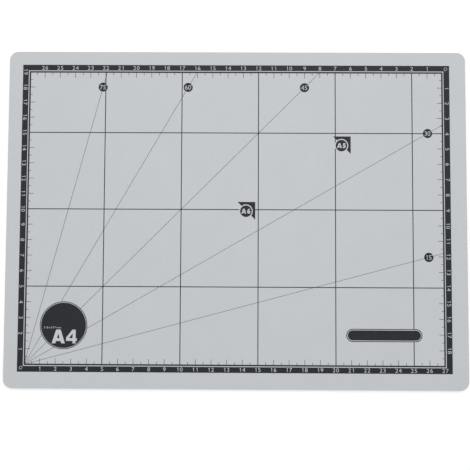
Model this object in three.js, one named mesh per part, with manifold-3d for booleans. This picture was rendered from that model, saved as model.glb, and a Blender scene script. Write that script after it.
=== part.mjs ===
// A4 class self healing cutting mat: a laminated PVC sheet with a printed ruler and grid.
// Millimetres, +Z up. The mat lies flat with its underside at z = 0, its long side along X,
// and the origin under its centre. The print is a thin film on the upper face.
import * as THREE from 'three';
import * as BufferGeometryUtils from 'three/addons/utils/BufferGeometryUtils.js';
import Module from 'manifold-3d';

const wasm = await Module();
wasm.setup();

// ---------------------------------------------------------------- driving dimensions

// Sheet
const MAT_LENGTH = 298.4;
const MAT_WIDTH = 218.6;
const MAT_CORNER_RADIUS = 5.6;
const SKIN_THICKNESS = 0.6;
const CUSHION_THICKNESS = 0.5;
const CORE_THICKNESS = 0.8;

// Ruler: its zero is the lower left corner of a 27 by 19 cm field
const FIELD_LENGTH = 270;
const FIELD_WIDTH = 190;
const FIELD_SHIFT_X = -0.8; // the print sits slightly off the centre of the sheet
const FIELD_SHIFT_Y = 0.9;
const INK_THICKNESS = 0.05;

// How far the edges of the border band and of the frame line stand outside the field: x at its
// two ends, y along its two long sides
const BAND_OUTER_OFFSET = { x: 4.5, y: 4.7 };
const BAND_INNER_OFFSET = { x: 0.72, y: 1 };
const FRAME_OUTER_OFFSET = { x: 0.17, y: 0.45 };
const FRAME_INNER_OFFSET = { x: -0.78, y: -0.5 };

// Scale ticks, grid and angle lines
const CENTIMETRE = 10;
const CENTIMETRE_TICK = { length: 3.75, width: 0.27 };
const HALF_TICK = { length: 2.1, width: 0.27 };
const GRID_PITCH = 50;
const GRID_LINE_WIDTH = 0.55;
const ANGLE_STEP = 15;
const ANGLE_LINE_WIDTH = 0.2;

// Discs that carry the angle numbers, one centimetre inside the field's far edges
const ANGLE_DISC_RADIUS = 3;
const ANGLE_DISC_INSET = 10;

// Paper size markers: a corner triangle at each sheet size, with a disc against its long side
const PAPER_SIZES = { a5: { x: 210, y: 148 }, a6: { x: 148, y: 105 } };
const CORNER_MARK_LEG = 11.4;
const MARK_DISC_RADIUS = 3.75;
const MARK_DISC_HALO = 4.45;
const MARK_DISC_INSET = 6;

// Round badge in the ruler's zero corner
const BADGE = { x: 25, y: 25, discRadius: 14.45, ringInner: 14.8, ringOuter: 15.25 };

// Blank label in the lower right corner: a black pill in a thin outline
const LABEL = { x: 231, y: 19.55, length: 46.8, width: 6.4, outlineOffset: 0.45, outlineWidth: 0.5 };

// Ink islands that are neighbours keep this much bare sheet between them
const INK_GAP = 0.3;

const QUARTER_STEPS = 10; // straight steps that stand for a quarter of a circle

// ---------------------------------------------------------------- materials

const SKIN_LOOK = { color: 0xc5c9cc, roughness: 0.62, metalness: 0 };
const CUSHION_LOOK = { color: 0xa6aaae, roughness: 0.75, metalness: 0 };
const CORE_LOOK = { color: 0xdfe0dd, roughness: 0.5, metalness: 0 };
const INK_LOOK = { color: 0x303336, roughness: 0.5, metalness: 0 };

// ---------------------------------------------------------------- outlines

function rectangle(x0, y0, x1, y1, PathClass = THREE.Shape) {
  const path = new PathClass();
  path.moveTo(x0, y0);
  path.lineTo(x1, y0);
  path.lineTo(x1, y1);
  path.lineTo(x0, y1);
  path.closePath();
  return path;
}

function circle(x, y, radius, PathClass = THREE.Shape) {
  const path = new PathClass();
  path.absarc(x, y, radius, 0, 2 * Math.PI);
  return path;
}

function roundedRectangle(x, y, length, width, radius, PathClass = THREE.Shape) {
  const right = x + length / 2 - radius;
  const left = x - length / 2 + radius;
  const top = y + width / 2 - radius;
  const bottom = y - width / 2 + radius;
  const path = new PathClass();
  path.absarc(right, bottom, radius, -Math.PI / 2, 0);
  path.absarc(right, top, radius, 0, Math.PI / 2);
  path.absarc(left, top, radius, Math.PI / 2, Math.PI);
  path.absarc(left, bottom, radius, Math.PI, 1.5 * Math.PI);
  path.closePath();
  return path;
}

function pill(x, y, length, width, PathClass = THREE.Shape) {
  const radius = width / 2;
  const reach = length / 2 - radius;
  const path = new PathClass();
  path.absarc(x + reach, y, radius, -Math.PI / 2, Math.PI / 2);
  path.absarc(x - reach, y, radius, Math.PI / 2, 1.5 * Math.PI);
  path.closePath();
  return path;
}

function polygon(points) {
  return new THREE.Shape(points.map(([x, y]) => new THREE.Vector2(x, y)));
}

// ---------------------------------------------------------------- solids

// Each arc of the outline spans the given number of quarter turns. An arc is divided into twice
// as many steps as curveSegments says.
function slab(shape, thickness, quartersPerArc = 4) {
  return new THREE.ExtrudeGeometry(shape, {
    depth: thickness,
    bevelEnabled: false,
    curveSegments: (quartersPerArc * QUARTER_STEPS) / 2,
  });
}

function toManifold(geometry) {
  const bare = geometry.clone();
  bare.deleteAttribute('normal');
  bare.deleteAttribute('uv');
  const merged = BufferGeometryUtils.mergeVertices(bare, 1e-4);
  return new wasm.Manifold(new wasm.Mesh({
    numProp: 3,
    vertProperties: new Float32Array(merged.attributes.position.array),
    triVerts: new Uint32Array(merged.index.array),
  }));
}

function toGeometry(solid) {
  const mesh = solid.getMesh();
  const geometry = new THREE.BufferGeometry();
  geometry.setAttribute('position', new THREE.BufferAttribute(mesh.vertProperties, 3));
  geometry.setIndex(new THREE.BufferAttribute(mesh.triVerts, 1));
  geometry.computeVertexNormals();
  return geometry;
}

// ---------------------------------------------------------------- sheet

const mat = new THREE.Group();

function addMesh(parent, name, geometry, look) {
  const mesh = new THREE.Mesh(geometry, new THREE.MeshStandardMaterial(look));
  mesh.name = name;
  parent.add(mesh);
  return mesh;
}

const PLIES = [
  ['bottom_healing_ply', SKIN_THICKNESS, SKIN_LOOK],
  ['lower_cushion_ply', CUSHION_THICKNESS, CUSHION_LOOK],
  ['rigid_core_ply', CORE_THICKNESS, CORE_LOOK],
  ['upper_cushion_ply', CUSHION_THICKNESS, CUSHION_LOOK],
  ['top_healing_ply', SKIN_THICKNESS, SKIN_LOOK],
];

const sheetOutline = roundedRectangle(0, 0, MAT_LENGTH, MAT_WIDTH, MAT_CORNER_RADIUS);
let sheetTop = 0;
for (const [name, thickness, look] of PLIES) {
  const ply = addMesh(mat, name, slab(sheetOutline, thickness, 1), look);
  ply.position.z = sheetTop;
  sheetTop += thickness;
}

// ---------------------------------------------------------------- print, in ruler coordinates

// The print's group puts the ruler's zero at its local origin, on the upper face
const print = new THREE.Group();
print.position.set(FIELD_SHIFT_X - FIELD_LENGTH / 2, FIELD_SHIFT_Y - FIELD_WIDTH / 2, sheetTop);
mat.add(print);

function addInk(name, geometry) {
  addMesh(print, name, geometry, INK_LOOK);
}

function fieldRectangle({ x, y }, PathClass) {
  return rectangle(-x, -y, FIELD_LENGTH + x, FIELD_WIDTH + y, PathClass);
}

function borderBand() {
  const shape = fieldRectangle(BAND_OUTER_OFFSET);
  shape.holes.push(fieldRectangle(BAND_INNER_OFFSET, THREE.Path));
  return slab(shape, INK_THICKNESS);
}

function frameLine() {
  const shape = fieldRectangle(FRAME_OUTER_OFFSET);
  shape.holes.push(fieldRectangle(FRAME_INNER_OFFSET, THREE.Path));
  return slab(shape, INK_THICKNESS);
}

// A box from one point to another along its middle line
function inkBar(x0, y0, x1, y1, width) {
  const length = Math.hypot(x1 - x0, y1 - y0);
  const bar = new THREE.BoxGeometry(length, width, INK_THICKNESS);
  bar.rotateZ(Math.atan2(y1 - y0, x1 - x0));
  bar.translate((x0 + x1) / 2, (y0 + y1) / 2, INK_THICKNESS / 2);
  return bar;
}

// Ticks stand inwards on all four sides of the field, every half centimetre
function tickBars() {
  const bars = [];
  const halfStep = CENTIMETRE / 2;
  const tickAt = (distance) => (distance % CENTIMETRE === 0 ? CENTIMETRE_TICK : HALF_TICK);
  for (let x = halfStep; x < FIELD_LENGTH; x += halfStep) {
    const { length, width } = tickAt(x);
    bars.push(inkBar(x, 0, x, length, width));
    bars.push(inkBar(x, FIELD_WIDTH, x, FIELD_WIDTH - length, width));
  }
  for (let y = halfStep; y < FIELD_WIDTH; y += halfStep) {
    const { length, width } = tickAt(y);
    bars.push(inkBar(0, y, length, y, width));
    bars.push(inkBar(FIELD_LENGTH, y, FIELD_LENGTH - length, y, width));
  }
  return bars;
}

function gridBars() {
  const bars = [];
  for (let x = GRID_PITCH; x < FIELD_LENGTH; x += GRID_PITCH) {
    bars.push(inkBar(x, 0, x, FIELD_WIDTH, GRID_LINE_WIDTH));
  }
  for (let y = GRID_PITCH; y < FIELD_WIDTH; y += GRID_PITCH) {
    bars.push(inkBar(0, y, FIELD_LENGTH, y, GRID_LINE_WIDTH));
  }
  return bars;
}

// The place where the ray from the ruler's zero leaves a rectangle of the given size
function rayEnd(degrees, length, width) {
  const angle = THREE.MathUtils.degToRad(degrees);
  const reach = Math.min(length / Math.cos(angle), width / Math.sin(angle));
  return [reach * Math.cos(angle), reach * Math.sin(angle)];
}

const ANGLES = [];
for (let degrees = ANGLE_STEP; degrees < 90; degrees += ANGLE_STEP) {
  ANGLES.push(degrees);
}

const angleBars = () => ANGLES.map((degrees) => {
  const [x, y] = rayEnd(degrees, FIELD_LENGTH, FIELD_WIDTH);
  return inkBar(0, 0, x, y, ANGLE_LINE_WIDTH);
});

const angleDiscCentre = (degrees) => rayEnd(
  degrees,
  FIELD_LENGTH - ANGLE_DISC_INSET,
  FIELD_WIDTH - ANGLE_DISC_INSET,
);

// Triangle with its right angle at the paper's far corner, grown outwards by a margin
function cornerTriangle({ x, y }, margin = 0) {
  const diagonal = CORNER_MARK_LEG + margin * (2 + Math.SQRT2);
  const right = x + margin;
  const top = y + margin;
  return polygon([[right, top], [right - diagonal, top], [right, top - diagonal]]);
}

const markDiscCentre = ({ x, y }) => [x - MARK_DISC_INSET, y - MARK_DISC_INSET];

function labelShape(margin, PathClass) {
  return pill(LABEL.x, LABEL.y, LABEL.length + 2 * margin, LABEL.width + 2 * margin, PathClass);
}

// What the lines are interrupted for: every other island, with bare sheet around it
function clearings() {
  const shapes = [circle(BADGE.x, BADGE.y, BADGE.ringOuter + INK_GAP)];
  shapes.push(labelShape(LABEL.outlineOffset + LABEL.outlineWidth + INK_GAP));
  for (const degrees of ANGLES) {
    shapes.push(circle(...angleDiscCentre(degrees), ANGLE_DISC_RADIUS + INK_GAP));
  }
  for (const size of Object.values(PAPER_SIZES)) {
    shapes.push(circle(...markDiscCentre(size), MARK_DISC_HALO));
    shapes.push(cornerTriangle(size, INK_GAP));
  }
  return shapes;
}

// A cutter that stands through the film from below to above
function cutter(shape, quartersPerArc) {
  const solid = slab(shape, 3 * INK_THICKNESS, quartersPerArc);
  solid.translate(0, 0, -INK_THICKNESS);
  return toManifold(solid);
}

// Drops the short stub of a grid line that is left between two clearings
function largestBody(solid) {
  return solid.decompose().reduce((a, b) => (a.volume() > b.volume() ? a : b));
}

function gridLines() {
  const bars = [...tickBars(), ...gridBars(), ...angleBars()];
  const lines = bars.reduce((solid, bar) => solid.add(toManifold(bar)), toManifold(frameLine()));
  const cut = clearings().reduce((solid, shape) => solid.subtract(cutter(shape)), lines);
  const field = toManifold(slab(fieldRectangle(FRAME_OUTER_OFFSET), INK_THICKNESS));
  return toGeometry(largestBody(cut.intersect(field)));
}

function ring(outline, hole, quartersPerArc) {
  outline.holes.push(hole);
  return slab(outline, INK_THICKNESS, quartersPerArc);
}

addInk('ruler_band', borderBand());
addInk('ruler_grid_lines', gridLines());

for (const degrees of ANGLES) {
  const disc = circle(...angleDiscCentre(degrees), ANGLE_DISC_RADIUS);
  addInk(`angle_disc_${degrees}`, slab(disc, INK_THICKNESS));
}

for (const [name, size] of Object.entries(PAPER_SIZES)) {
  const triangle = toManifold(slab(cornerTriangle(size), INK_THICKNESS));
  const halo = cutter(circle(...markDiscCentre(size), MARK_DISC_HALO));
  addInk(`${name}_corner_mark`, toGeometry(triangle.subtract(halo)));
  addInk(`${name}_disc`, slab(circle(...markDiscCentre(size), MARK_DISC_RADIUS), INK_THICKNESS));
}

addInk('a4_badge_disc', slab(circle(BADGE.x, BADGE.y, BADGE.discRadius), INK_THICKNESS));
addInk('a4_badge_ring', ring(
  circle(BADGE.x, BADGE.y, BADGE.ringOuter),
  circle(BADGE.x, BADGE.y, BADGE.ringInner, THREE.Path),
));

addInk('label_pill', slab(labelShape(0), INK_THICKNESS, 2));
addInk('label_outline', ring(
  labelShape(LABEL.outlineOffset + LABEL.outlineWidth),
  labelShape(LABEL.outlineOffset, THREE.Path),
  2,
));

export default mat;
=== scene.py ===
"""Looks of a self healing cutting mat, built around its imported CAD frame.

Objects are in metres in the CAD frame, +Z up. The print is drawn in ruler coordinates: millimetres
from the ruler's zero, +X along the lower scale and +Y up the left scale.
"""
import functools
import math

import bpy
from mathutils import Matrix, Vector
from mathutils.geometry import delaunay_2d_cdt


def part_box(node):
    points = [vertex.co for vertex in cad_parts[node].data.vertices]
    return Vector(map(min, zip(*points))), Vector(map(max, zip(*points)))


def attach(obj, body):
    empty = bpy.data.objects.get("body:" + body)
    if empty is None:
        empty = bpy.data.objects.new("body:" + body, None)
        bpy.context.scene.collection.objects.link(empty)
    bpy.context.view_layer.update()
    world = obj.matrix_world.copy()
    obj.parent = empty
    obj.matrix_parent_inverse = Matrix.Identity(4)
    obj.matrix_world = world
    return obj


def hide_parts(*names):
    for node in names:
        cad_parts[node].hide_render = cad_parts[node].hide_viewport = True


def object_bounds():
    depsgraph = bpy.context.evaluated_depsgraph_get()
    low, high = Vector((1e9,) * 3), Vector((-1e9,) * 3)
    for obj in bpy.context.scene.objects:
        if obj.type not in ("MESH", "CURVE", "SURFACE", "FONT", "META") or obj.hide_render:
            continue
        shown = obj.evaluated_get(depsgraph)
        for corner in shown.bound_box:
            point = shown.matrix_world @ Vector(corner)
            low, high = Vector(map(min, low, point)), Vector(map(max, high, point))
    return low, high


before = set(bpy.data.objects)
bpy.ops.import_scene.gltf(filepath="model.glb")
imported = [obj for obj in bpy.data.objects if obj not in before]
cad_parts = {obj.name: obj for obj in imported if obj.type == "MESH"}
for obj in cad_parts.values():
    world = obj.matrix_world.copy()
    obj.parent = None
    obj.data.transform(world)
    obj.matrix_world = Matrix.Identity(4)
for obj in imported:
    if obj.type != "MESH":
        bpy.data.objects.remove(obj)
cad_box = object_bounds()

MM = 0.001
BODY = "root"

# ------------------------------------------------------------------ sizes, in millimetres

MAT_CORNER_RADIUS = 5.6

CENTIMETRE = 10
# How far the edges of the border band and of the frame line stand outside the 27 by 19 cm field,
# as (at its two ends, along its two long sides). The frame line's inner edge stands inside it
BAND_OUTER_OFFSET = (4.5, 4.7)
BAND_INNER_OFFSET = (0.72, 1.0)
FRAME_OUTER_OFFSET = (0.17, 0.45)
FRAME_INNER_OFFSET = (-0.78, -0.5)

# (length, width) of the scale's ticks
CENTIMETRE_TICK = (3.75, 0.27)
HALF_TICK = (2.1, 0.27)
TICK_PITCH = 5

GRID_PITCH = 50
GRID_LINE_WIDTH = 0.55
ANGLES = (15, 30, 45, 60, 75)
ANGLE_LINE_WIDTH = 0.2
ANGLE_DISC_RADIUS = 3.0
ANGLE_DISC_INSET = 10

PAPER_CORNERS = {"a5": (210, 148), "a6": (148, 105)}
CORNER_MARK_LEG = 11.4
MARK_DISC_RADIUS = 3.75
MARK_DISC_HALO = 4.45
MARK_DISC_INSET = 6

BADGE_CENTRE = (25, 25)
BADGE_DISC_RADIUS = 14.45
BADGE_RING_INNER = 14.8
BADGE_RING_OUTER = 15.25

LABEL_CENTRE = (231, 19.55)
LABEL_LENGTH = 46.8
LABEL_WIDTH = 6.4
LABEL_OUTLINE_OFFSET = 0.45
LABEL_OUTLINE_WIDTH = 0.5

# Scale numbers stand near the middle of the border band. The cell is the least width of a digit,
# and the cell and the gap are shares of the height
NUMBER_OFFSET = 2.7
NUMBER_HEIGHT = 2.5
NUMBER_CELL = 0.83
NUMBER_GAP = 0.08
NUMBER_STRETCH = 1.1
# How far a number stands past its tick, by its count of digits
NUMBER_SHIFTS = {1: 0.1, 2: -0.15}

# The two corner zeros are ovals, with their length turned by ZERO_TURN degrees. Half axes are along
# the middle of the stroke, and offsets are from the field's low corner and from its high corner
ZERO_HALF_LENGTH = 1.08
ZERO_HALF_WIDTH = 0.84
ZERO_STROKE = 0.3
ZERO_TURN = 45
LOW_ZERO_OFFSET = (-2.15, -2.1)
HIGH_ZERO_OFFSET = (2.1, 2.45)

# Numbers and degree signs on the angle discs, with offsets from the disc's centre
ANGLE_NUMBER_HEIGHT = 2.9
ANGLE_NUMBER_OFFSET = (-0.15, -0.05)
ANGLE_NUMBER_GAP = 0.02
ANGLE_NUMBER_CELL = 0.7
DEGREE_SIGN_OFFSET = (2.15, 1.45)
DEGREE_SIGN_OUTER = 0.42
DEGREE_SIGN_INNER = 0.17

# Letters on the paper size discs and in the badge, with offsets from the badge's centre
MARK_LETTER_HEIGHT = 3.2
MARK_LETTER_GAP = 0.17
BADGE_LETTER_HEIGHT = 8.75
BADGE_LETTER_OFFSET = (0.62, -7.15)
BADGE_LETTER_GAP = 0.08
BADGE_NOTE_HEIGHT = 1.2
BADGE_NOTE_OFFSET = (-7.15, -1.4)
BADGE_NOTE_GAP = 0.36

# ------------------------------------------------------------------ places, from the frame

band_low, band_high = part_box("ruler_band")
ZERO = Vector((band_low.x, band_low.y)) + Vector(BAND_OUTER_OFFSET) * MM
FIELD_LENGTH = round((band_high.x - band_low.x) / MM - 2 * BAND_OUTER_OFFSET[0])
FIELD_WIDTH = round((band_high.y - band_low.y) / MM - 2 * BAND_OUTER_OFFSET[1])
INK_LOW = band_low.z
INK_HIGH = band_high.z


# ------------------------------------------------------------------ outlines

def moved(place, offset):
    return place[0] + offset[0], place[1] + offset[1]


def rectangle(x0, y0, x1, y1):
    return [(x0, y0), (x1, y0), (x1, y1), (x0, y1)]


def field_rectangle(offset):
    """The field grown by an offset at its ends and along its long sides."""
    x, y = offset
    return rectangle(-x, -y, FIELD_LENGTH + x, FIELD_WIDTH + y)


def bar(start, end, width):
    """A line of the given width from one point to another."""
    start, end = Vector(start), Vector(end)
    side = (end - start).orthogonal().normalized() * (width / 2)
    return [tuple(p) for p in (start - side, end - side, end + side, start + side)]


def arc(x, y, radius, first, last, steps):
    """Points from one angle to another, in degrees, both ends included."""
    angles = (math.radians(first + (last - first) * i / steps) for i in range(steps + 1))
    return [(x + radius * math.cos(a), y + radius * math.sin(a)) for a in angles]


def circle(centre, radius, steps=96):
    return arc(*centre, radius, 0, 360, steps)[:-1]


def oval(centre, half_length, half_width, degrees, steps=48):
    """An ellipse with its length turned by the given angle."""
    turn = Matrix.Rotation(math.radians(degrees), 2)
    points = arc(0, 0, 1, 0, 360, steps)[:-1]
    return [tuple(Vector(centre) + turn @ Vector((x * half_length, y * half_width))) for x, y in points]


def pill(centre, length, width, steps=36):
    x, y = centre
    radius = width / 2
    reach = length / 2 - radius
    return arc(x + reach, y, radius, -90, 90, steps) + arc(x - reach, y, radius, 90, 270, steps)


def label_shape(margin):
    return pill(LABEL_CENTRE, LABEL_LENGTH + 2 * margin, LABEL_WIDTH + 2 * margin)


def ray_end(degrees, length, width):
    """Where the ray from the ruler's zero leaves a rectangle of the given size."""
    angle = math.radians(degrees)
    reach = min(length / math.cos(angle), width / math.sin(angle))
    return reach * math.cos(angle), reach * math.sin(angle)


def angle_disc_centre(degrees):
    return ray_end(degrees, FIELD_LENGTH - ANGLE_DISC_INSET, FIELD_WIDTH - ANGLE_DISC_INSET)


def corner_triangle(corner):
    x, y = corner
    return [(x, y), (x - CORNER_MARK_LEG, y), (x, y - CORNER_MARK_LEG)]


def mark_disc_centre(corner):
    return corner[0] - MARK_DISC_INSET, corner[1] - MARK_DISC_INSET


# ------------------------------------------------------------------ lettering

# How far a character's outline is moved outwards, in units of Blender's built-in font. BOLD also
# picks the shapes below for A and 4, which are drawn bold
REGULAR = 0.0
MEDIUM = 0.015
BOLD = 0.058

# A corner whose two side normals sum to less than this, squared, is too sharp to keep its full reach
SHARPEST_MITER = 1.0
FONT_CURVE_STEPS = 4

# Characters with straight strokes, one unit high: outlines, then counters
PLAIN_SHAPES = {
    "1": [
        [(0.16, 0), (0.28, 0), (0.28, 1), (0.18, 1), (0, 0.84), (0, 0.71), (0.16, 0.83)],
    ],
}
BOLD_SHAPES = {
    "A": [
        [(0, 0), (0.275, 0), (0.325, 0.165), (0.655, 0.165), (0.705, 0), (0.98, 0), (0.66, 1),
         (0.32, 1)],
        [(0.395, 0.38), (0.49, 0.7), (0.585, 0.38)],
    ],
    "4": [
        [(0, 0.18), (0.475, 0.18), (0.475, 0), (0.705, 0), (0.705, 0.18), (0.8, 0.18), (0.8, 0.385),
         (0.705, 0.385), (0.705, 1), (0.455, 1), (0, 0.42)],
        [(0.22, 0.385), (0.475, 0.72), (0.475, 0.385)],
    ],
}


def wire_loops(mesh):
    """The closed loops of a mesh that is only edges, each in its edges' own direction."""
    onward = {edge.vertices[0]: edge.vertices[1] for edge in mesh.edges}
    loops = []
    while onward:
        here, following = onward.popitem()
        loop = [here]
        while following in onward:
            loop.append(following)
            following = onward.pop(following)
        loops.append([tuple(mesh.vertices[i].co[:2]) for i in loop])
    return loops


def thickened(loop, amount):
    """Moves each side of a letter's outline away from its stroke, which lies on the loop's left."""
    grown = []
    count = len(loop)
    for i, point in enumerate(loop):
        here = Vector(point)
        before = (here - Vector(loop[i - 1])).orthogonal().normalized()
        after = (Vector(loop[(i + 1) % count]) - here).orthogonal().normalized()
        miter = before + after
        miter *= 2 / max(miter.length_squared, SHARPEST_MITER)
        grown.append(tuple(here - miter * amount))
    return grown


def font_loops(character):
    """Outlines of a character of Blender's built-in sans serif, with its baseline at 0."""
    font = bpy.data.curves.new("character", "FONT")
    font.body = character
    font.fill_mode = "NONE"
    font.resolution_u = FONT_CURVE_STEPS
    letter = bpy.data.objects.new("character", font)
    bpy.context.scene.collection.objects.link(letter)
    bpy.context.view_layer.update()
    wire = bpy.data.meshes.new_from_object(letter.evaluated_get(bpy.context.evaluated_depsgraph_get()))
    loops = wire_loops(wire)
    bpy.data.meshes.remove(wire)
    bpy.data.objects.remove(letter)
    bpy.data.curves.remove(font)
    return loops


def extent(loops, axis):
    values = [p[axis] for loop in loops for p in loop]
    return min(values), max(values)


CAPITAL_HEIGHT = extent(font_loops("H"), 1)[1]


@functools.cache
def glyph(character, weight):
    """Outlines of a character, one unit high and from x = 0, and its width."""
    shapes = BOLD_SHAPES if weight == BOLD else PLAIN_SHAPES
    if character in shapes:
        return shapes[character], extent(shapes[character], 0)[1]
    loops = [thickened(loop, weight) for loop in font_loops(character)]
    left, right = extent(loops, 0)
    scale = 1 / (CAPITAL_HEIGHT + 2 * weight)
    scaled = [[((x - left) * scale, (y + weight) * scale) for x, y in loop] for loop in loops]
    return scaled, (right - left) * scale


def lettering(text, centre, height, gap, degrees=0.0, weight=REGULAR, cell=0.0, stretch=1.0):
    """Outlines of a word, turned about its middle and put in place.

    stretch widens each character. gap is the space between them and cell the least width that
    each one takes, both as shares of the height.
    """
    loops = []
    pen = 0
    for character in text:
        shapes, width = glyph(character, weight)
        taken = max(width * stretch, cell)
        start = pen + (taken - width * stretch) / 2
        loops += [[(x * stretch + start, y) for x, y in loop] for loop in shapes]
        pen += taken + gap
    middle = Vector(((pen - gap) / 2, 0.5))
    turn = Matrix.Rotation(math.radians(degrees), 2)
    place = Vector(centre)
    return [[tuple(place + turn @ (Vector(p) - middle) * height) for p in loop] for loop in loops]


# ------------------------------------------------------------------ ink films

INK, BARE, FLIP = "ink", "bare", "flip"
MERGE_DISTANCE = 1e-5
TRIANGLES_INSIDE = 1


def anticlockwise(outline):
    pairs = zip(outline, outline[1:] + outline[:1])
    area = sum(x0 * y1 - x1 * y0 for (x0, y0), (x1, y1) in pairs)
    return outline if area > 0 else outline[::-1]


def inked_triangles(layers):
    """Flat triangles of what is inked after painting the outlines one over another.

    layers is a list of (outline, paint). INK covers, BARE clears and FLIP swaps the two.
    """
    points = []
    faces = []
    for outline, _ in layers:
        faces.append(list(range(len(points), len(points) + len(outline))))
        points += [Vector(p) for p in anticlockwise(outline)]
    result = delaunay_2d_cdt(points, [], faces, TRIANGLES_INSIDE, MERGE_DISTANCE)
    vertices, triangles, sources = result[0], result[2], result[5]
    kept = []
    for triangle, source in zip(triangles, sources):
        inked = False
        for layer in sorted(source):
            paint = layers[layer][1]
            inked = not inked if paint == FLIP else paint == INK
        if inked:
            kept.append(triangle)
    return vertices, kept


def ink_film(name, layers, *nodes):
    """A closed film of ink on the mat's upper face, with upright walls round its edge."""
    flat, triangles = inked_triangles(layers)
    used = sorted({i for t in triangles for i in t})
    low = {v: i for i, v in enumerate(used)}
    high = {v: i + len(used) for i, v in enumerate(used)}
    places = [ZERO + flat[v] * MM for v in used]
    vertices = [(*p, INK_LOW) for p in places] + [(*p, INK_HIGH) for p in places]
    sides = {(t[k], t[(k + 1) % 3]) for t in triangles for k in range(3)}
    faces = [[high[i] for i in t] for t in triangles]
    faces += [[low[i] for i in reversed(t)] for t in triangles]
    faces += [[low[a], low[b], high[b], high[a]] for a, b in sorted(sides) if (b, a) not in sides]
    mesh = bpy.data.meshes.new(name)
    mesh.from_pydata(vertices, [], faces)
    mesh.materials.append(ink)
    film = bpy.data.objects.new(name, mesh)
    bpy.context.scene.collection.objects.link(film)
    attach(film, BODY)
    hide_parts(*nodes)


# ------------------------------------------------------------------ materials

def node_material(name):
    material = bpy.data.materials.new(name)
    material.use_nodes = True
    return material, material.node_tree.nodes, material.node_tree.links


def noise(nodes, links, scale, detail, stretch=(1, 1, 1)):
    """Noise in the object's own coordinates. scale is in features per metre."""
    place = nodes.new("ShaderNodeTexCoord")
    mapping = nodes.new("ShaderNodeMapping")
    mapping.inputs["Scale"].default_value = stretch
    texture = nodes.new("ShaderNodeTexNoise")
    texture.inputs["Scale"].default_value = scale
    texture.inputs["Detail"].default_value = detail
    links.new(place.outputs["Object"], mapping.inputs["Vector"])
    links.new(mapping.outputs["Vector"], texture.inputs["Vector"])
    return texture.outputs["Fac"]


# Most of a noise texture's values lie between these two
NOISE_LOW = 0.3
NOISE_HIGH = 0.7


def remap(nodes, links, value, low, high):
    """Stretches a noise value, which stays near the middle of 0 to 1, to run from low to high."""
    ramp = nodes.new("ShaderNodeMapRange")
    ramp.inputs["From Min"].default_value = NOISE_LOW
    ramp.inputs["From Max"].default_value = NOISE_HIGH
    ramp.inputs["To Min"].default_value = low
    ramp.inputs["To Max"].default_value = high
    links.new(value, ramp.inputs["Value"])
    return ramp.outputs["Result"]


def blend_colour(nodes, links, fac, first, second):
    mix = nodes.new("ShaderNodeMix")
    mix.data_type = "RGBA"
    links.new(fac, mix.inputs["Factor"])
    for name, colour in (("A", first), ("B", second)):
        target = next(s for s in mix.inputs if s.name == name and s.type == "RGBA")
        if isinstance(colour, tuple):
            target.default_value = (*colour, 1)
        else:
            links.new(colour, target)
    return next(s for s in mix.outputs if s.type == "RGBA")


def bump(nodes, links, height, distance):
    node = nodes.new("ShaderNodeBump")
    node.inputs["Distance"].default_value = distance
    node.inputs["Strength"].default_value = 1.0
    links.new(height, node.inputs["Height"])
    return node.outputs["Normal"]


# Features per metre of PVC's soft mottle, and of the patches in which its roughness varies
MOTTLE_SCALE = 45
PATCH_SCALE = 700
ROUGHNESS_SPREAD = 0.05
# How much of the darker colour gathers in the hollows of the grain
SPECK_SHARE = 0.8
PVC_SPECULAR = 0.5

SKIN_GRAIN = 2600
SKIN_LIGHT = (0.497, 0.517, 0.537)
SKIN_DARK = (0.479, 0.498, 0.517)
CUSHION_LIGHT = (0.4, 0.42, 0.44)
CUSHION_DARK = (0.35, 0.37, 0.39)
CORE_LIGHT = (0.74, 0.74, 0.72)
CORE_DARK = (0.68, 0.68, 0.66)
# The cut edges' grain is drawn out upwards
EDGE_GRAIN = 2500
EDGE_STRETCH = (1, 1, 0.15)


def pvc(name, light, dark, roughness, grain, grain_depth, stretch=(1, 1, 1)):
    """Matte PVC: a soft mottle, a fine even grain, and a roughness that varies a little."""
    material, nodes, links = node_material(name)
    shader = nodes["Principled BSDF"]
    mottle = remap(nodes, links, noise(nodes, links, MOTTLE_SCALE, 4), 0, 1)
    soft = blend_colour(nodes, links, mottle, dark, light)
    texture = noise(nodes, links, grain, 3, stretch)
    speck = remap(nodes, links, texture, 0, SPECK_SHARE)
    links.new(blend_colour(nodes, links, speck, soft, dark), shader.inputs["Base Color"])
    patches = noise(nodes, links, PATCH_SCALE, 3)
    rough = remap(nodes, links, patches, roughness - ROUGHNESS_SPREAD, roughness + ROUGHNESS_SPREAD)
    links.new(rough, shader.inputs["Roughness"])
    links.new(bump(nodes, links, texture, grain_depth), shader.inputs["Normal"])
    shader.inputs["Specular IOR Level"].default_value = PVC_SPECULAR
    return material


skin = pvc(
    "healing_skin", SKIN_LIGHT, SKIN_DARK, roughness=0.52, grain=SKIN_GRAIN, grain_depth=1.2e-4,
)
cushion = pvc(
    "cushion", CUSHION_LIGHT, CUSHION_DARK, roughness=0.75, grain=EDGE_GRAIN, grain_depth=9e-5,
    stretch=EDGE_STRETCH,
)
core = pvc(
    "core", CORE_LIGHT, CORE_DARK, roughness=0.5, grain=EDGE_GRAIN, grain_depth=7e-5,
    stretch=EDGE_STRETCH,
)


INK_THICK = (0.0103, 0.0113, 0.016)
INK_THIN = (0.015, 0.016, 0.0207)
INK_WEAR_SCALE = 900
INK_GLOSS_SCALE = 1500
INK_ROUGHNESS_LOW = 0.42
INK_ROUGHNESS_HIGH = 0.52
INK_GRAIN_DEPTH = 8e-5
INK_SPECULAR = 0.22


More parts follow.
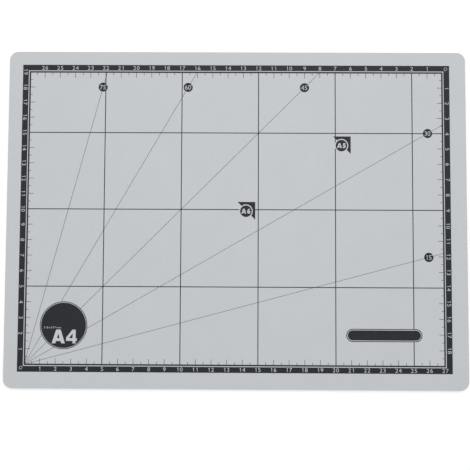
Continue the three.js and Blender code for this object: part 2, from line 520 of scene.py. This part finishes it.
def screen_ink():
    """Satin black ink: nearly even, with the skin's grain showing through it."""
    material, nodes, links = node_material("ink")
    shader = nodes["Principled BSDF"]
    wear = remap(nodes, links, noise(nodes, links, INK_WEAR_SCALE, 4), 0, 1)
    links.new(blend_colour(nodes, links, wear, INK_THICK, INK_THIN), shader.inputs["Base Color"])
    gloss = noise(nodes, links, INK_GLOSS_SCALE, 3)
    rough = remap(nodes, links, gloss, INK_ROUGHNESS_LOW, INK_ROUGHNESS_HIGH)
    links.new(rough, shader.inputs["Roughness"])
    grain = bump(nodes, links, noise(nodes, links, SKIN_GRAIN, 3), INK_GRAIN_DEPTH)
    links.new(grain, shader.inputs["Normal"])
    shader.inputs["Specular IOR Level"].default_value = INK_SPECULAR
    return material


ink = screen_ink()


# ------------------------------------------------------------------ sheet

# Longest straight step along a ply's sides, in millimetres
SIDE_STEP = 8
# Edges that turn by more than this stay sharp, in degrees
SHARP_ANGLE = 50


def rounded_rectangle(low, high, inset, radius, side_step, corner_steps=16):
    """Points round a rectangle with round corners, with the straight sides divided evenly."""
    x0, y0 = low.x + inset, low.y + inset
    x1, y1 = high.x - inset, high.y - inset
    r = radius - inset
    corners = (
        (x1 - r, y0 + r, -90), (x1 - r, y1 - r, 0), (x0 + r, y1 - r, 90), (x0 + r, y0 + r, 180),
    )
    points = []
    for k, (x, y, first) in enumerate(corners):
        points += arc(x, y, r, first, first + 90, corner_steps)
        nx, ny, turn = corners[(k + 1) % 4]
        start = Vector(points[-1])
        end = Vector((nx + r * math.cos(math.radians(turn)), ny + r * math.sin(math.radians(turn))))
        steps = max(1, round((end - start).length / side_step))
        points += [tuple(start.lerp(end, i / steps)) for i in range(1, steps)]
    return points


def ply(name, node, profile, material):
    """One sheet of the laminate. profile is (inset, height share) from its lower to its upper rim."""
    low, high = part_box(node)
    thickness = high.z - low.z
    rings = []
    for inset, share in profile:
        outline = rounded_rectangle(low, high, inset * MM, MAT_CORNER_RADIUS * MM, SIDE_STEP * MM)
        rings.append([(x, y, low.z + share * thickness) for x, y in outline])
    count = len(rings[0])
    vertices = [v for ring in rings for v in ring]
    faces = [list(range(count))[::-1]]
    for r in range(len(rings) - 1):
        a, b = r * count, (r + 1) * count
        faces += [[a + i, a + (i + 1) % count, b + (i + 1) % count, b + i] for i in range(count)]
    faces.append([len(vertices) - count + i for i in range(count)])
    mesh = bpy.data.meshes.new(name)
    mesh.from_pydata(vertices, [], faces)
    mesh.polygons.foreach_set("use_smooth", [True] * len(mesh.polygons))
    mesh.set_sharp_from_angle(angle=math.radians(SHARP_ANGLE))
    mesh.materials.append(material)
    sheet = bpy.data.objects.new(name, mesh)
    bpy.context.scene.collection.objects.link(sheet)
    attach(sheet, BODY)
    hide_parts(node)


# The rim of the outer faces is slightly rounded by the cutting die, and the joints between the
# plies show as fine grooves. SEAM is how far a groove's edge stands in. The first and last points
# of a profile lie on its flat faces
SEAM = 0.04
inner_profile = [(0.6, 0), (SEAM, 0), (0, 0.08), (0, 0.92), (SEAM, 1), (0.6, 1)]
upper_profile = [
    (0.6, 0), (SEAM, 0), (0, 0.07), (0, 0.62), (0.03, 0.8), (0.1, 0.93), (0.22, 1), (0.8, 1),
]
lower_profile = [(inset, 1 - share) for inset, share in reversed(upper_profile)]

ply("bottom_skin", "bottom_healing_ply", lower_profile, skin)
ply("lower_cushion", "lower_cushion_ply", inner_profile, cushion)
ply("core_sheet", "rigid_core_ply", inner_profile, core)
ply("upper_cushion", "upper_cushion_ply", inner_profile, cushion)
ply("top_skin", "top_healing_ply", upper_profile, skin)


# ------------------------------------------------------------------ print

def scale_numbers():
    """(number, place, degrees) of every number on the four scales, but for the zeros."""
    last_x = FIELD_LENGTH // CENTIMETRE
    last_y = FIELD_WIDTH // CENTIMETRE
    right = FIELD_LENGTH + NUMBER_OFFSET
    above = FIELD_WIDTH + NUMBER_OFFSET
    numbers = []
    for n in range(1, last_x + 1):
        x = n * CENTIMETRE
        shift = NUMBER_SHIFTS[len(str(n))]
        numbers.append((n, (x + shift, -NUMBER_OFFSET), 0))
        if n < last_x:
            numbers.append((n, (FIELD_LENGTH - x + shift, above), 0))
    for n in range(1, last_y + 1):
        y = n * CENTIMETRE
        shift = NUMBER_SHIFTS[len(str(n))]
        numbers.append((n, (-NUMBER_OFFSET, y - shift), -90))
        if n < last_y:
            numbers.append((n, (right, FIELD_WIDTH - y - shift), -90))
    return numbers


def flipped(loops):
    return [(loop, FLIP) for loop in loops]


def ruler_band():
    layers = [(field_rectangle(BAND_OUTER_OFFSET), INK), (field_rectangle(BAND_INNER_OFFSET), BARE)]
    style = {"gap": NUMBER_GAP, "cell": NUMBER_CELL, "stretch": NUMBER_STRETCH}
    for number, place, degrees in scale_numbers():
        layers += flipped(lettering(str(number), place, NUMBER_HEIGHT, degrees=degrees, **style))
    for place in (LOW_ZERO_OFFSET, moved((FIELD_LENGTH, FIELD_WIDTH), HIGH_ZERO_OFFSET)):
        for grow in (ZERO_STROKE / 2, -ZERO_STROKE / 2):
            rim = oval(place, ZERO_HALF_LENGTH + grow, ZERO_HALF_WIDTH + grow, ZERO_TURN)
            layers.append((rim, FLIP))
    ink_film("printed_ruler_band", layers, "ruler_band")


def tick_at(millimetres):
    return HALF_TICK if millimetres % CENTIMETRE else CENTIMETRE_TICK


def tick_bars():
    bars = []
    for x in range(TICK_PITCH, FIELD_LENGTH, TICK_PITCH):
        length, width = tick_at(x)
        bars.append(bar((x, 0), (x, length), width))
        bars.append(bar((x, FIELD_WIDTH), (x, FIELD_WIDTH - length), width))
    for y in range(TICK_PITCH, FIELD_WIDTH, TICK_PITCH):
        length, width = tick_at(y)
        bars.append(bar((0, y), (length, y), width))
        bars.append(bar((FIELD_LENGTH, y), (FIELD_LENGTH - length, y), width))
    return bars


def grid_bars():
    across = range(GRID_PITCH, FIELD_LENGTH, GRID_PITCH)
    upward = range(GRID_PITCH, FIELD_WIDTH, GRID_PITCH)
    bars = [bar((x, 0), (x, FIELD_WIDTH), GRID_LINE_WIDTH) for x in across]
    bars += [bar((0, y), (FIELD_LENGTH, y), GRID_LINE_WIDTH) for y in upward]
    return bars


def angle_bars():
    ends = (ray_end(degrees, FIELD_LENGTH, FIELD_WIDTH) for degrees in ANGLES)
    return [bar((0, 0), end, ANGLE_LINE_WIDTH) for end in ends]


def grid_lines():
    """Frame line, ticks, grid and angle lines as one film, cut where the other marks stand."""
    layers = [(field_rectangle(FRAME_OUTER_OFFSET), INK), (field_rectangle(FRAME_INNER_OFFSET), BARE)]
    layers += [(outline, INK) for outline in tick_bars() + grid_bars() + angle_bars()]
    layers.append((circle(BADGE_CENTRE, BADGE_RING_OUTER), BARE))
    layers.append((label_shape(LABEL_OUTLINE_OFFSET + LABEL_OUTLINE_WIDTH), BARE))
    for degrees in ANGLES:
        layers.append((circle(angle_disc_centre(degrees), ANGLE_DISC_RADIUS), BARE))
    for corner in PAPER_CORNERS.values():
        layers.append((corner_triangle(corner), BARE))
        layers.append((circle(mark_disc_centre(corner), MARK_DISC_HALO), BARE))
    ink_film("printed_grid_lines", layers, "ruler_grid_lines")


def angle_discs():
    for degrees in ANGLES:
        centre = angle_disc_centre(degrees)
        number = lettering(
            str(degrees), moved(centre, ANGLE_NUMBER_OFFSET), ANGLE_NUMBER_HEIGHT,
            gap=ANGLE_NUMBER_GAP, cell=ANGLE_NUMBER_CELL,
        )
        sign = moved(centre, DEGREE_SIGN_OFFSET)
        layers = [(circle(centre, ANGLE_DISC_RADIUS), INK)]
        layers += flipped(number)
        layers.append((circle(sign, DEGREE_SIGN_OUTER, steps=24), BARE))
        layers.append((circle(sign, DEGREE_SIGN_INNER, steps=16), INK))
        ink_film(f"printed_angle_disc_{degrees}", layers, f"angle_disc_{degrees}")


def paper_marks():
    for name, corner in PAPER_CORNERS.items():
        centre = mark_disc_centre(corner)
        triangle = [(corner_triangle(corner), INK), (circle(centre, MARK_DISC_HALO), BARE)]
        ink_film(f"printed_{name}_corner", triangle, f"{name}_corner_mark")
        letters = lettering(name.upper(), centre, MARK_LETTER_HEIGHT, gap=MARK_LETTER_GAP, weight=BOLD)
        disc = [(circle(centre, MARK_DISC_RADIUS), INK)]
        disc += flipped(letters)
        ink_film(f"printed_{name}_disc", disc, f"{name}_disc")


def badge():
    letters = lettering(
        "A4", moved(BADGE_CENTRE, BADGE_LETTER_OFFSET), BADGE_LETTER_HEIGHT,
        gap=BADGE_LETTER_GAP, weight=BOLD,
    )
    note = lettering(
        "210x297mm", moved(BADGE_CENTRE, BADGE_NOTE_OFFSET), BADGE_NOTE_HEIGHT,
        gap=BADGE_NOTE_GAP, weight=MEDIUM,
    )
    disc = [(circle(BADGE_CENTRE, BADGE_DISC_RADIUS, steps=160), INK)]
    disc += flipped(letters)
    disc += flipped(note)
    ink_film("printed_a4_badge", disc, "a4_badge_disc")
    ring = [
        (circle(BADGE_CENTRE, BADGE_RING_OUTER), INK),
        (circle(BADGE_CENTRE, BADGE_RING_INNER), BARE),
    ]
    ink_film("printed_a4_ring", ring, "a4_badge_ring")


def label():
    ink_film("printed_label_pill", [(label_shape(0), INK)], "label_pill")
    outline = [
        (label_shape(LABEL_OUTLINE_OFFSET + LABEL_OUTLINE_WIDTH), INK),
        (label_shape(LABEL_OUTLINE_OFFSET), BARE),
    ]
    ink_film("printed_label_outline", outline, "label_outline")


ruler_band()
grid_lines()
angle_discs()
paper_marks()
badge()
label()


# ------------------------------------------------------------------ floor, light and camera

FLOOR_GLOW = 0.1
FLOOR_REFLECTANCE = 0.9
# In metres: rings of the flat floor round the mat, and the radius at which it starts to sweep up
FLOOR_RINGS = (0.3, 0.8)
FLOOR_RADIUS = 1.6
SWEEP_RADIUS = 1.4
SWEEP_STEPS = 12
FLOOR_SIDES = 64


def floor():
    """A pale floor that sweeps up far away into a backdrop."""
    material, nodes, links = node_material("floor")
    shader = nodes["Principled BSDF"]
    shader.inputs["Base Color"].default_value = (*[FLOOR_REFLECTANCE] * 3, 1)
    shader.inputs["Roughness"].default_value = 0.9
    shader.inputs["Emission Color"].default_value = (1, 1, 1, 1)
    shader.inputs["Emission Strength"].default_value = FLOOR_GLOW
    z = cad_box[0].z
    sweep = arc(FLOOR_RADIUS, z + SWEEP_RADIUS, SWEEP_RADIUS, -90, 0, SWEEP_STEPS)
    rings = [(radius, z) for radius in FLOOR_RINGS] + sweep
    vertices = [(0, 0, z)]
    for radius, height in rings:
        vertices += [(x, y, height) for x, y in circle((0, 0), radius, FLOOR_SIDES)]
    faces = [[0, 1 + i, 1 + (i + 1) % FLOOR_SIDES] for i in range(FLOOR_SIDES)]
    for r in range(len(rings) - 1):
        a, b = 1 + r * FLOOR_SIDES, 1 + (r + 1) * FLOOR_SIDES
        for i in range(FLOOR_SIDES):
            onward = (i + 1) % FLOOR_SIDES
            faces.append([a + i, b + i, b + onward, a + onward])
    mesh = bpy.data.meshes.new("floor")
    mesh.from_pydata(vertices, [], faces)
    mesh.polygons.foreach_set("use_smooth", [True] * len(mesh.polygons))
    mesh.materials.append(material)
    bowl = bpy.data.objects.new("floor", mesh)
    bpy.context.scene.collection.objects.link(bowl)


def area_light(name, place, size, power):
    """A square light that faces the mat. Size is in metres and power in watts."""
    data = bpy.data.lights.new(name, "AREA")
    data.shape = "SQUARE"
    data.size = size
    data.energy = power
    lamp = bpy.data.objects.new(name, data)
    lamp.location = place
    lamp.rotation_euler = (-Vector(place)).to_track_quat("-Z", "Y").to_euler()
    bpy.context.scene.collection.objects.link(lamp)


def sky(strength):
    world = bpy.data.worlds.new("sky")
    world.use_nodes = True
    background = world.node_tree.nodes["Background"]
    background.inputs["Color"].default_value = (1, 1, 1, 1)
    background.inputs["Strength"].default_value = strength
    bpy.context.scene.world = world


def camera():
    """A normal lens nearly straight above the mat."""
    data = bpy.data.cameras.new("camera")
    data.lens = 50
    data.sensor_width = 36
    data.shift_y = -0.04
    data.clip_start = 0.01
    viewer = bpy.data.objects.new("camera", data)
    viewer.location = (0.00175, -0.01995, 0.42523)
    viewer.rotation_euler = [math.radians(a) for a in (2.92512, 0.33966, 0.26477)]
    bpy.context.scene.collection.objects.link(viewer)
    bpy.context.scene.camera = viewer


floor()
area_light("key", (0.15, 0.45, 1.3), size=1.0, power=7.4)
area_light("fill", (-1.1, 0.4, 1.2), size=1.2, power=2.8)
sky(strength=0.7)
camera()
bpy.context.scene.view_settings.view_transform = "Standard"
